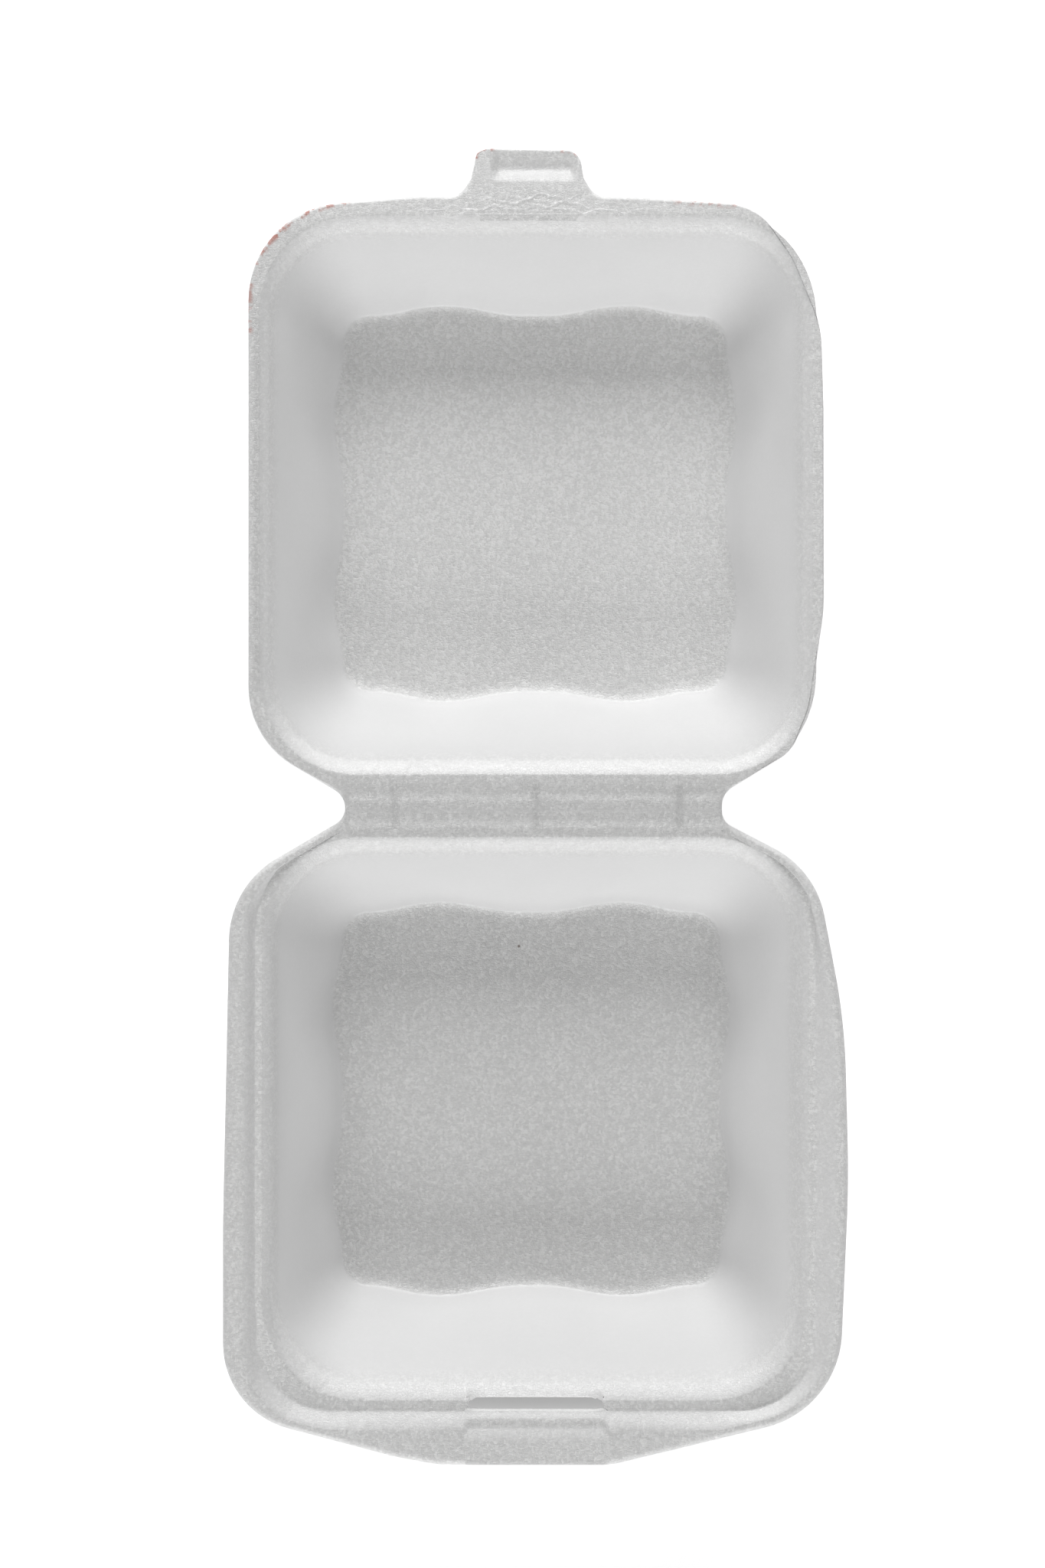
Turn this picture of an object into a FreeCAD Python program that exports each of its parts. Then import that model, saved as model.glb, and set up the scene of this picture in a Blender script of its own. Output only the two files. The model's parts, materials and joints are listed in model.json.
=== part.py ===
"""Hinged food box, formed and cut from one sheet of white foam, lying open with both hollows up.

Millimetres. X runs across the box, +Y from the hinge towards the lid's tab, +Z up.
The origin is on the surface that the box stands on, under the middle of its open outline.
"""
import FreeCAD
import Part
import os
from math import atan2, cos, pi, radians, sin, tan

V = FreeCAD.Vector

# Sheet and heights, above the surface that the box stands on.
foam = 2.2              # thickness of the formed sheet
crest_top = 35.0        # top of the rounded crest around each hollow
flange_drop = 1.6       # from the crest down to the lid's flange and both hinge flanges
ledge_drop = 0.6        # from the base's crest down to its ledge
rim_rise = 1.6          # from the base's crest up to its raised rim
shelf_drop = 1.1        # from the raised rim down to the shelf behind the slit

# Hinge strip between the two creases.
crease_spacing = 6.4    # from one crease to the other
crease_depth = 1.4      # from the flange's top down to the line that it folds about
crease_clearance = 1.0  # degrees that each side of a crease's groove opens beyond 45
strip_width = 90.4
strip_corner = 4.0      # hollow corners at the strip's ends
rib_pitch = 34.3        # between the three grooves pressed across the strip
rib_width = 1.8
rib_depth = 0.5
rib_reach = 2.9         # how far they run into the lid's flange

# Hollows: crest lines in plan, and the walls below them.
crest_width = 131.0     # of the base's crest line
crest_length = 129.8
crest_gap = 5.3         # from the crease to the base's crest line
nest_side = 0.6         # the lid's crest line lies this much outside the base's, to nest on its ledge
nest_back = 2.2         # the lid's crest line starts this much further from its crease
nest_front = 2.8        # and ends this much further
crest_corner = 23.0     # corner radius of the crest line
crest_half = 1.1        # from the crest line to the edge of the hollow
crest_foot = 1.9        # from the crest line to its outer foot
crest_round = 1.2       # height of the crest's rounded inner edge
wall_run = 16.6         # how far a wall leans in, from the hollow's edge to the floor's edge
floor_corner = 7.0      # corner radius of the floor's edge
floor_fillet = 5.0      # between floor and wall, on the inside
lid_floor_shift = 1.5   # the lid's floor lies this much towards the tab
scallop_depth = 2.5     # each wall swells twice at its foot
scallop_span = 37.7
scallop_land = 5.6      # straight stretch between the two swellings
scallop_height = 27.0   # where they have died away, above the floor

# Base: widths outside its crest line, outline and slit.
base_flange = 9.5       # at the sides, to the outer edge
base_lip = 18.2         # at the front, to the lip's edge
base_taper = 27.0       # degrees, of the edge from the strip to the side
base_corner = 22.0
lip_flat = 37.0
lip_corner = 10.0
lip_shoulder = 12.7     # how far the front edge falls back at the sides
ledge_side = 1.5        # to the foot of the riser
ledge_front = 5.2
riser_side = 3.5        # width of the riser up to the raised rim
riser_front = 5.1
bead_taper = 1.9        # from the tapered edge to the raised rim's inner edge
riser_taper = 1.5       # and the riser's width there
riser_corner = 17.0
rim_start = 0.5         # past the strip's end, where the riser's foot starts
rim_end = 4.8           # past the strip's end, where the raised rim starts
shelf_width = 34.4
shelf_slope = 1.5

# Lid: widths outside its crest line, outline and tab.
lid_flange = 2.9
lid_lip = 5.9
lid_taper = 20.0        # degrees
lid_taper_gap = 1.6     # from the crease to where the tapered edge starts
lid_corner = 20.0
lid_shoulder = 3.6      # how far the front edge falls back at the sides
tab_fold_gap = 2.0      # from the lid's crest line to the line that the tab folds about
tab_length = 12.3       # from the lid's front edge to the tab's tip
tab_root_width = 28.4
tab_tip_width = 24.8
tab_corner = 4.0
tab_side_gap = 0.2      # between the tab's root and the flange beside it
tab_slit_clearance = 0.3
tab_slit_end = 1.7      # from the tab's root to each end of the slit
catch_width = 19.0      # bar pressed into the tab, hollow above and standing out below
catch_length = 6.3
catch_height = 1.8
catch_slope = 1.4
catch_skin = 0.55       # how much smaller the bar's hollow is than its outside, all round
catch_from_tip = 2.2

# Worked out from the sizes above.
flange_top = crest_top - flange_drop
ledge_top = crest_top - ledge_drop
rim_top = crest_top + rim_rise
shelf_top = rim_top - shelf_drop
wall_top = crest_top - crest_round
wall_angle = atan2(wall_top - foam, wall_run)
strip_half = strip_width / 2
base_slope = tan(radians(base_taper))
lid_slope = tan(radians(lid_taper))

base_half = crest_width / 2 + base_flange
base_front = crest_gap + crest_length
base_middle = -crest_gap - crest_length / 2
lip_reach = base_front + base_lip
riser_end_front = base_front + ledge_front + riser_front
riser_lean = foam * tan(atan2(rim_top - ledge_top, riser_front) / 2)

lid_crease = crease_spacing
lid_crest_width = crest_width + 2 * nest_side
lid_crest_gap = crest_gap + nest_back
lid_front = base_front + nest_front
lid_crest_length = lid_front - lid_crest_gap
lid_half = lid_crest_width / 2 + lid_flange
lid_middle = lid_crease + lid_crest_gap + lid_crest_length / 2
lid_edge = lid_crease + lid_front + lid_lip
tab_tip = lid_edge + tab_length
fold = lid_front + tab_fold_gap
slit_inner = fold - crease_depth - tab_slit_clearance
slit_outer = fold + (foam - crease_depth) + tab_slit_clearance
slit_length = tab_root_width + 2 * tab_slit_end
middle_y = (tab_tip - lip_reach) / 2

# Helpers for cuts, and how finely the hollows' levels are drawn.
beyond = 1.0            # how far a cut runs past the surface that it opens
far = 400.0             # longer than the whole box
side_steps = 18
corner_steps = 4
fillet_steps = 3
wall_steps = 3


def outline(corners, z):
    """Closed wire through corners (x, y, radius), each rounded by an arc of its radius."""
    edges = []
    ends = []
    for i, (x, y, radius) in enumerate(corners):
        corner = V(x, y, z)
        before = (V(corners[i - 1][0], corners[i - 1][1], z) - corner).normalize()
        after = corners[(i + 1) % len(corners)]
        after = (V(after[0], after[1], z) - corner).normalize()
        if radius == 0:
            ends.append((corner, corner))
            edges.append(None)
            continue
        half = before.getAngle(after) / 2
        reach = radius / tan(half)
        bisector = (before + after).normalize()
        middle = corner + bisector * (radius / sin(half) - radius)
        start = corner + before * reach
        end = corner + after * reach
        ends.append((start, end))
        edges.append(Part.Arc(start, middle, end).toShape())
    wire = []
    for i, arc in enumerate(edges):
        start = ends[i - 1][1]
        wire.append(Part.LineSegment(start, ends[i][0]).toShape())
        if arc is not None:
            wire.append(arc)
    return Part.Wire(wire)


def mirrored(right):
    """Corners of the right half, from front to back, made into a whole closed outline."""
    return right + [(-x, y, radius) for x, y, radius in reversed(right)]


def stack(wires):
    """Solid that joins outlines of the same kind, one above the other, by straight sides."""
    return Part.makeLoft(wires, True, True)


def block(x_low, x_high, y_low, y_high, z_low, z_high):
    return Part.makeBox(x_high - x_low, y_high - y_low, z_high - z_low, V(x_low, y_low, z_low))


def prism(face, z_low, z_high):
    """Flat face at height 0, carried from z_low to z_high."""
    moved = face.copy()
    moved.translate(V(0, 0, z_low))
    return moved.extrude(V(0, 0, z_high - z_low))


def whole_plan():
    """Outline of base, strip and lid together, before the tab is cut out."""
    base_side = -(base_half - strip_half) * base_slope
    lid_shoulder_y = lid_edge - lid_shoulder
    lid_start = lid_crease + lid_taper_gap
    lid_side = lid_start + (lid_half - strip_half) * lid_slope
    right = [
        (lip_flat / 2, -lip_reach, lip_corner),
        (base_half, lip_shoulder - lip_reach, base_corner),
        (base_half, base_side, base_corner),
        (strip_half, 0, strip_corner),
        (strip_half, lid_start, strip_corner),
        (lid_half, lid_side, lid_corner),
        (lid_half, lid_shoulder_y, lid_corner),
        (tab_root_width / 2, lid_edge, 0),
    ]
    return Part.Face(outline(mirrored(right), 0))


def part_of_plan(plan, y_low, y_high):
    slab = block(-far, far, y_low, y_high, -beyond, beyond)
    return plan.common(slab)


def scallop(along):
    """Height of the two swellings, 0 to 1, at a place along a floor's side, from its middle."""
    centre = (scallop_land + scallop_span) / 2
    away = abs(abs(along) - centre)
    if away >= scallop_span / 2:
        return 0.0
    return cos(pi * away / scallop_span) ** 2


def ring(width, length, middle, inset, z, floor_shift):
    """One level of a hollow: a rounded rectangle, inset from the crest line, with swollen sides."""
    share = (inset - crest_half) / wall_run
    corner = crest_corner - crest_half - (crest_corner - crest_half - floor_corner) * share
    corner = max(corner, 1.0)
    half_x = width / 2 - inset
    half_y = length / 2 - inset
    height = min(max((z - foam) / scallop_height, 0.0), 1.0)
    swelling = scallop_depth * (1 - height * height * (3 - 2 * height))
    level_y = middle + floor_shift * share
    floor_side = width / 2 - crest_half - wall_run - floor_corner
    points = []
    sides = ((half_y - corner, half_x), (half_x - corner, half_y)) * 2
    for quarter, (run, reach) in enumerate(sides):
        turn = quarter * pi / 2
        local = []
        for i in range(side_steps + 1):
            along = run * (2 * i / side_steps - 1)
            local.append((reach + swelling * scallop(along * floor_side / run), along))
        for i in range(1, corner_steps):
            angle = i / corner_steps * pi / 2
            local.append((reach - corner + corner * cos(angle), run + corner * sin(angle)))
        for x, y in local:
            points.append(V(x * cos(turn) - y * sin(turn), level_y + x * sin(turn) + y * cos(turn), z))
    curve = Part.BSplineCurve()
    curve.interpolate(Points=points, PeriodicFlag=True)
    return Part.Wire(curve.toShape())


def wall_levels(skin):
    """(inset, height) of a wall from floor to top; skin is 0 inside and the foam outside."""
    tangent = floor_fillet * tan(wall_angle / 2)
    centre_inset = crest_half + wall_run + tangent
    centre_z = foam + floor_fillet
    radius = floor_fillet + skin
    levels = []
    for i in range(fillet_steps + 1):
        angle = wall_angle * i / fillet_steps
        levels.append((centre_inset - radius * sin(angle), centre_z - radius * cos(angle)))
    low_inset, low_z = levels[-1]
    top_z = wall_top if skin == 0 else flange_top - foam / 2
    for i in range(1, wall_steps + 1):
        z = low_z + (top_z - low_z) * i / wall_steps
        levels.append((low_inset - (z - low_z) / tan(wall_angle), z))
    return levels


def hollow(width, length, middle, floor_shift):
    """Space inside a half, open at the top, with the crest's rounded inner edge."""
    levels = wall_levels(0)
    body = stack([ring(width, length, middle, inset, z, floor_shift) for inset, z in levels])
    edge = [(crest_half * cos(angle), wall_top + crest_round * sin(angle))
            for angle in (0, pi / 6, pi / 3, pi / 2)]
    edge.append((0, crest_top + beyond))
    rounding = stack([ring(width, length, middle, inset, z, floor_shift) for inset, z in edge])
    return body, rounding


def bowl(width, length, middle, floor_shift):
    """Outside of a half's floor and walls, filled."""
    return stack([ring(width, length, middle, inset, z, floor_shift) for inset, z in wall_levels(foam)])


def crest(width, length, middle):
    """Crest around a hollow, filled, with a sloping outer side."""
    levels = ((crest_foot, flange_top - foam), (crest_foot, flange_top), (crest_half, ledge_top),
              (crest_half / 2, crest_top))
    wires = []
    for out, z in levels:
        corners = [
            (width / 2 + out, middle - length / 2 - out, crest_corner + out),
            (width / 2 + out, middle + length / 2 + out, crest_corner + out),
        ]
        wires.append(outline(mirrored(corners), z))
    return stack(wires)


def groove(y, half_width, top_z):
    """V groove above a crease, along X; its point is the line that the foam folds about."""
    depth = crease_depth + beyond
    spread = depth * tan(radians(45 + crease_clearance))
    bottom = top_z - crease_depth
    points = [V(-half_width, y, bottom), V(-half_width, y - spread, bottom + depth),
              V(-half_width, y + spread, bottom + depth)]
    face = Part.Face(Part.makePolygon(points + points[:1]))
    return face.extrude(V(2 * half_width, 0, 0))


def rim_line(side, front, taper, end, z, out):
    """Foot or top of the raised rim: around the front and sides, and off the back at the strip."""
    side = crest_width / 2 + side + out
    front = base_front + front
    inner = (taper - out) / cos(radians(base_taper))
    end_x = strip_half + end
    side_y = -(side - strip_half) * base_slope - inner
    end_y = -(end_x - strip_half) * base_slope - inner
    corners = [(side, -front - out, riser_corner + out), (side, side_y, riser_corner + out),
               (end_x, end_y, 0), (end_x, beyond * 2, 0)]
    return outline(mirrored(corners), z)


def formed_flange(plan):
    """Ledge, riser and raised rim, one sheet thick."""
    def foot(z, out):
        return rim_line(ledge_side, ledge_front, bead_taper + riser_taper, rim_start, z, out)

    def top(z, out):
        return rim_line(ledge_side + riser_side, ledge_front + riser_front, bead_taper, rim_end, z, out)

    sheet = prism(plan, ledge_top - foam, rim_top)
    above = stack([foot(ledge_top, 0), top(rim_top, 0), top(rim_top + beyond, 0)])
    kept = stack([foot(ledge_top - foam - beyond, riser_lean), foot(ledge_top - foam, riser_lean),
                  top(rim_top - foam, riser_lean)])
    below = block(-far, far, -far, far, ledge_top - foam - beyond, rim_top - foam).cut(kept)
    half = shelf_width / 2
    shelf = stack([
        outline(rectangle(half - shelf_slope, shelf_slope - riser_end_front, -slit_outer), shelf_top),
        outline(rectangle(half, -riser_end_front, -slit_outer), rim_top),
        outline(rectangle(half, -riser_end_front, -slit_outer), rim_top + beyond)])
    return sheet.cut(above).cut(below).cut(shelf)


def rectangle(half_x, y_low, y_high):
    return [(-half_x, y_low, 0), (half_x, y_low, 0), (half_x, y_high, 0), (-half_x, y_high, 0)]


def hinge_flange(plan, width, y_low, y_high):
    """Flat flange beside a crease."""
    part = plan.common(block(-width, width, y_low, y_high, -beyond, beyond))
    return prism(part, flange_top - foam, flange_top)


def make_base(plan):
    plan = part_of_plan(plan, -far, 0)
    hinge_edge = crest_foot - crest_gap
    step_half = strip_half + rim_end
    step = block(-step_half, step_half, hinge_edge, beyond, flange_top, rim_top + beyond)
    body = formed_flange(plan).cut(step)
    body = body.fuse(hinge_flange(plan, step_half, hinge_edge - crest_half - foam, 0))
    body = body.fuse(crest(crest_width, crest_length, base_middle))
    body = body.fuse(bowl(crest_width, crest_length, base_middle, 0))
    for space in hollow(crest_width, crest_length, base_middle, 0):
        body = body.cut(space)
    slit = block(-slit_length / 2, slit_length / 2, -slit_outer, -slit_inner, 0, rim_top)
    return body.cut(slit).cut(groove(0, far, flange_top))


def ribs(y_low, y_high):
    """Grooves pressed across the strip and into the lid's flange."""
    cuts = []
    for i in (-1, 0, 1):
        x = i * rib_pitch
        cuts.append(block(x - rib_width / 2, x + rib_width / 2, y_low, y_high,
                          flange_top - rib_depth, flange_top + beyond))
    return Part.makeCompound(cuts)


def make_strip(plan):
    body = prism(part_of_plan(plan, 0, lid_crease), flange_top - foam, flange_top)
    for y in (0, lid_crease):
        body = body.cut(groove(y, far, flange_top))
    return body.cut(ribs(-beyond, lid_crease + beyond))


def make_lid(plan):
    plan = part_of_plan(plan, lid_crease, far)
    body = prism(plan, flange_top - foam, flange_top)
    body = body.fuse(crest(lid_crest_width, lid_crest_length, lid_middle))
    body = body.fuse(bowl(lid_crest_width, lid_crest_length, lid_middle, lid_floor_shift))
    for space in hollow(lid_crest_width, lid_crest_length, lid_middle, lid_floor_shift):
        body = body.cut(space)
    root = tab_root_width / 2 + tab_side_gap
    fold_y = lid_crease + fold
    folded_face = fold_y - crease_depth - tab_slit_clearance
    body = body.cut(block(-root, root, fold_y, far, 0, crest_top + beyond))
    body = body.cut(block(-root, root, folded_face, far, flange_top, crest_top + beyond))
    body = body.cut(groove(fold_y, root, flange_top))
    body = body.cut(groove(lid_crease, far, flange_top))
    return body.cut(ribs(0, lid_crease + rib_reach))


def catch(top_z, inset):
    """Tapered bar under the tab, or with an inset the hollow above it."""
    middle = tab_tip - catch_from_tip - catch_length / 2
    wires = []
    for z, lean in ((top_z + beyond, 0), (top_z, 0), (top_z - catch_height, catch_slope)):
        half_x = catch_width / 2 - inset - lean
        half_y = catch_length / 2 - inset - lean
        wires.append(outline(rectangle(half_x, middle - half_y, middle + half_y), z))
    return stack(wires)


def make_tab():
    fold_y = lid_crease + fold
    root = tab_root_width / 2
    right = [(root, fold_y, 0), (root, lid_edge, 0), (tab_tip_width / 2, tab_tip, tab_corner)]
    body = prism(Part.Face(outline(mirrored(right), 0)), flange_top - foam, flange_top)
    body = body.fuse(catch(flange_top - foam, 0)).cut(catch(flange_top, catch_skin))
    return body.cut(groove(fold_y, root + beyond, flange_top))


def main():
    os.makedirs("parts", exist_ok=True)
    plan = whole_plan()
    nodes = {
        "base": make_base(plan),
        "hinge_strip": make_strip(plan),
        "lid": make_lid(plan),
        "latch_tab": make_tab(),
    }
    for name, shape in nodes.items():
        shape = shape.removeSplitter()
        shape.translate(V(0, -middle_y, 0))
        print(name, len(shape.Solids), "solid, volume", round(shape.Volume), "mm3")
        shape.Solids[0].exportStep("parts/" + name + ".step")


main()
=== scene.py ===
"""Open foam food box with its finishes, light and camera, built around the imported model.

Lengths in the shape functions are millimetres in the model's frame. Meshes are made in metres.
"""
import json
import math

import bpy
import numpy as np
from bpy.props import FloatProperty, FloatVectorProperty, PointerProperty
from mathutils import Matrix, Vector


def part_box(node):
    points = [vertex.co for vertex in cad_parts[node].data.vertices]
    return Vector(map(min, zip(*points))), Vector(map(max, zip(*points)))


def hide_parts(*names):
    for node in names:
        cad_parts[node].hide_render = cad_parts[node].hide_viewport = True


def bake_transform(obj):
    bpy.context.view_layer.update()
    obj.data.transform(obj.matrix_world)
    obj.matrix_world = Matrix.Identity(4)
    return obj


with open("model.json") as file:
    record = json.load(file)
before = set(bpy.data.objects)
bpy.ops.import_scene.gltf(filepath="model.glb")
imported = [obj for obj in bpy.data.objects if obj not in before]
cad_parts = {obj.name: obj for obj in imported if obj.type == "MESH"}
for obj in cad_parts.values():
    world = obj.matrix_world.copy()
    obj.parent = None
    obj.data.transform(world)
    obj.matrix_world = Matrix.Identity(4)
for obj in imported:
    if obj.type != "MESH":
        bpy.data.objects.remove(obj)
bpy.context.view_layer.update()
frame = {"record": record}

bl_info = {
    "name": "Foam clamshell container",
    "version": (1, 0, 0),
    "blender": (4, 5, 0),
    "location": "View3D > Sidebar > Foam box",
    "description": "Open foam food box with its light and camera",
    "category": "Object",
}

MM = 1000.0
JOINTS = {joint["name"]: joint for joint in frame["record"]["behaviour"]["joints"]}
BASE_CREASE = JOINTS["base_crease"]["pos_m"][1] * MM
LID_CREASE = JOINTS["lid_crease"]["pos_m"][1] * MM
TAB_FOLD = JOINTS["tab_fold"]["pos_m"][1] * MM
FLANGE_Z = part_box("hinge_strip")[1][2] * MM
CREST_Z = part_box("lid")[1][2] * MM
RIM_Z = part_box("base")[1][2] * MM
LIP_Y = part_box("base")[0][1] * MM
TAB_TIP_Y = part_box("latch_tab")[1][1] * MM
LEDGE_Z = CREST_Z - (RIM_Z - CREST_Z) * 0.375
WALL_TOP = CREST_Z - 1.2
STRIP_LEFT = -45.9
STRIP_RIGHT = 44.8
STRIP_MIDDLE = (BASE_CREASE + LID_CREASE) / 2

BASE_HOLLOW = {"x": -1.0, "back": BASE_CREASE - 5.3, "front": BASE_CREASE - 135.1, "half": 65.5, "shift": 0.0}
LID_HOLLOW = {"x": 0.0, "back": LID_CREASE + 7.5, "front": LID_CREASE + 137.9, "half": 66.1, "shift": 1.5}
CREST_CORNER = 23.0
CREST_HALF = 1.1
FLOOR_CORNER = 7.0

# Edges of the trimmed sheet as (x, y, corner radius), as the photographed one has them.
BASE_EDGE = [
    (STRIP_RIGHT, STRIP_MIDDLE, 0.0), (STRIP_RIGHT, -4.0, 4.0), (67.0, -15.6, 23.0), (73.9, -52.0, 150.0),
    (74.9, -90.0, 300.0), (72.5, -144.9, 24.0), (18.3, LIP_Y, 14.0), (-23.5, LIP_Y, 14.0),
    (-34.0, LIP_Y + 1.9, 30.0), (-74.9, -145.2, 21.0), (-74.9, -100.0, 300.0), (-73.2, -19.4, 23.0),
    (STRIP_LEFT, -3.3, 4.5), (STRIP_LEFT, STRIP_MIDDLE, 0.0),
]
RISER_TOP = [
    (44.0, -3.6, 3.0), (63.6, -16.4, 20.0), (71.8, -50.0, 100.0), (71.6, -149.2, 19.0),
    (-69.6, -149.2, 19.0), (-69.2, -20.4, 19.0), (-44.0, -3.6, 3.0),
]
RISER_FOOT = [
    (44.0, -5.6, 3.0), (62.0, -17.4, 19.0), (66.8, -50.0, 100.0), (66.8, -145.3, 18.0),
    (-66.9, -145.3, 18.0), (-66.9, -21.6, 18.0), (-44.0, -5.6, 3.0),
]
LID_EDGE = [
    (STRIP_LEFT, STRIP_MIDDLE, 0.0), (STRIP_LEFT, 2.0, 5.0), (-69.2, 15.6, 22.0), (-69.2, 142.7, 23.5),
    (-29.4, 146.4, 60.0), (-18.2, 146.3, 5.5), (-15.5, 150.9, 0.0), (11.5, 150.9, 0.0), (14.2, 146.3, 4.8),
    (24.0, 146.2, 60.0), (53.0, 144.2, 14.0), (61.8, 132.0, 20.0), (68.7, 115.5, 30.0), (69.3, 95.0, 200.0),
    (69.4, 47.0, 50.0), (65.8, 23.0, 25.0), (61.6, 12.8, 10.0), (STRIP_RIGHT, 2.6, 5.0),
    (STRIP_RIGHT, STRIP_MIDDLE, 0.0),
]
SLIT = (-16.4, 16.3)
SLIT_RAY_Y = -144.0
SLIT_INNER_Y = -142.1
SLIT_UNDER_Y = -142.85
SLIT_OUTER_Y = -145.6
SHELF_Z = RIM_Z - 1.1
TAB_SIDES = (-15.5, 11.5)
TAB_SIDES_Y = 150.9
TAB_ROOT_Y = TAB_FOLD - 1.3

# Rays of a shell meet its edge RAY_SPACING apart.
RAY_SPACING = 1.05

# Shader nodes stand in rows of NODES_ALONG, NODE_STEP apart.
NODES_ALONG = 8
NODE_STEP = 250

# Handling marks lie above MARKED_Z. UNDER_SHARE of a crease's depth shows on the underside. SEAM_APART
# keeps the edge at which two pieces meet from looking cut.
MARKED_Z = 30.0
UNDER_SHARE = 0.4
SEAM_APART = 9.0

# Handling marks as (x, y, direction in degrees, length, width, depth).
BASE_MARKS = [
    (-43.1, -146.5, 78, 12, 0.35, 0.28), (-30.3, -147.5, 84, 11, 0.3, 0.22),
    (-25.7, -146.0, 92, 10, 0.3, 0.2), (-54.5, -135.0, 60, 10, 0.3, 0.22),
    (31.6, -8.1, 64, 5, 0.5, 0.3), (-70.0, -33.5, 80, 9, 0.25, 0.35),
    (-50, -139.0, 40, 9, 0.4, 0.2), (-24.0, -9.0, 60, 4, 0.25, 0.14), (-20.5, -9.4, 58, 5, 0.25, 0.14),
    (-15.0, -9.4, 56, 5, 0.3, 0.16), (-8.0, -9.0, 52, 5, 0.3, 0.22), (67.5, -66.0, 62, 12, 0.3, 0.18),
    (70.0, -78.0, 60, 9, 0.3, 0.15), (66.0, -84.0, 65, 7, 0.25, 0.12),
]
LID_MARKS = [(-29.7, 9.4, 70, 5, 0.4, 0.3), (66.8, 108.5, 20, 4, 0.6, 0.4)]


def length_property(name, about, value):
    return FloatProperty(name=name, description=about, default=value, unit="LENGTH")


def power_property(name, about, value):
    return FloatProperty(name=name, description=about, default=value, unit="POWER")


def share_property(name, about, value):
    return FloatProperty(name=name, description=about, default=value, min=0.0, max=1.0)


def colour_property(name, about, value):
    return FloatVectorProperty(name=name, description=about, default=value, subtype="COLOR", size=3)


class BoxSizes(bpy.types.PropertyGroup):
    """Sizes of the formed foam sheet."""
    foam: length_property("Foam", "Thickness of the sheet", 0.0022)
    edge_round: length_property("Edge rounding", "How far the cut edge is rounded over", 0.0004)
    wall_run: length_property(
        "Wall lean", "How far a wall leans in from the hollow's edge to the floor", 0.0166)
    scallop: length_property("Scallop", "How far each wall swells at its foot", 0.0025)
    crease: length_property("Crease depth", "Depth of the two pressed lines of the hinge", 0.0002)
    catch: length_property("Catch depth", "Depth of the bar pressed into the tab", 0.0015)
    waviness: length_property("Waviness", "Height of the sheet's slow unevenness", 0.00012)


class FoamFinish(bpy.types.PropertyGroup):
    """Colours and texture of the foam."""
    colour: colour_property("Foam colour", "Colour of the foam", (0.89, 0.89, 0.885))
    stretched: colour_property(
        "Stretched colour", "Colour of the walls, where the foam was stretched", (0.88, 0.88, 0.88))
    stain: colour_property("Stain", "Colour of the food stains on the cut edge", (0.52, 0.15, 0.10))
    speck: colour_property("Speck", "Colour of the small specks", (0.16, 0.10, 0.07))
    cell: length_property("Cell", "Width of one foam cell or flake", 0.0006)
    roughness: share_property("Roughness", "Roughness of the flat foam", 0.40)
    satin: share_property("Stretched roughness", "Roughness of the stretched foam", 0.38)


class StageLook(bpy.types.PropertyGroup):
    """Floor, light and camera."""
    floor: colour_property("Floor", "Colour of the floor", (0.9, 0.9, 0.9))
    glow: FloatProperty(name="Glow", description="How much the floor glows", default=0.5)
    lid_light: power_property("Light at the tab", "Power of the soft light beyond the tab", 22.5)
    lip_light: power_property("Light at the lip", "Power of the soft light beyond the front lip", 17.5)
    sky: FloatProperty(name="Sky", description="Strength of the even light from all round", default=0.2)
    distance: length_property("Distance", "Camera's height above the crest", 0.564)


def step(low, high, value):
    """Smooth step: 0 below low, 1 above high, and 3t^2 - 2t^3 between them."""
    share = np.clip((value - low) / (high - low), 0.0, 1.0)
    return share * share * (3 - 2 * share)


def bell(value, width):
    """Bell curve of height 1: e to the power of minus (value / width) squared."""
    return np.exp(-(value / width) ** 2)


def unit(arrows):
    """The arrows with a length of 1."""
    return arrows / np.linalg.norm(arrows, axis=-1, keepdims=True)


def rounded(corners, steps=14):
    """Closed outline through corners (x, y, radius).

    Each corner becomes an arc that touches both its sides. The arc's points turn evenly about its
    centre, which lies on the corner's bisector at radius / sin(half the corner's angle).
    """
    data = np.array(corners, float)
    place, radius = data[:, :2], data[:, 2:]
    back = unit(np.roll(place, 1, 0) - place)
    ahead = unit(np.roll(place, -1, 0) - place)
    half = np.arccos(np.clip((back * ahead).sum(1, keepdims=True), -1, 1)) / 2
    reach = radius / np.tan(half)
    centre = place + unit(back + ahead) * radius / np.sin(half)
    turn = (math.pi - 2 * half)[:, None]
    share = np.linspace(0, 1, steps)[None, :, None]
    first = (place + back * reach - centre)[:, None]
    last = (place + ahead * reach - centre)[:, None]
    arc = (np.sin((1 - share) * turn) * first + np.sin(share * turn) * last) / np.sin(turn)
    return (centre[:, None] + arc).reshape(-1, 2)


def dense(line, count=9000):
    """The closed outline again, with count points evenly spaced along it."""
    closed = np.vstack([line, line[:1]])
    length = np.concatenate([[0], np.cumsum(np.linalg.norm(np.diff(closed, axis=0), axis=1))])
    places = np.linspace(0, length[-1], count, endpoint=False)
    return np.stack([np.interp(places, length, closed[:, k]) for k in (0, 1)], 1)


def reach_of(corners, centre, angles):
    """Distance from the centre to the outline through corners, along the ray at each angle."""
    points = dense(rounded(corners)) - centre
    angle = np.arctan2(points[:, 1], points[:, 0])
    return np.interp(angles, angle, np.linalg.norm(points, axis=1), period=2 * math.pi)


def box_corners(hollow, out, radius):
    """Corners of a hollow's crest line, moved outwards by out and rounded with the radius."""
    low, high = sorted((hollow["back"], hollow["front"]))
    x = hollow["half"] + out
    return [(hollow["x"] + sx * x, low - out if sy < 0 else high + out, radius)
            for sx, sy in ((1, -1), (1, 1), (-1, 1), (-1, -1))]


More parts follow.
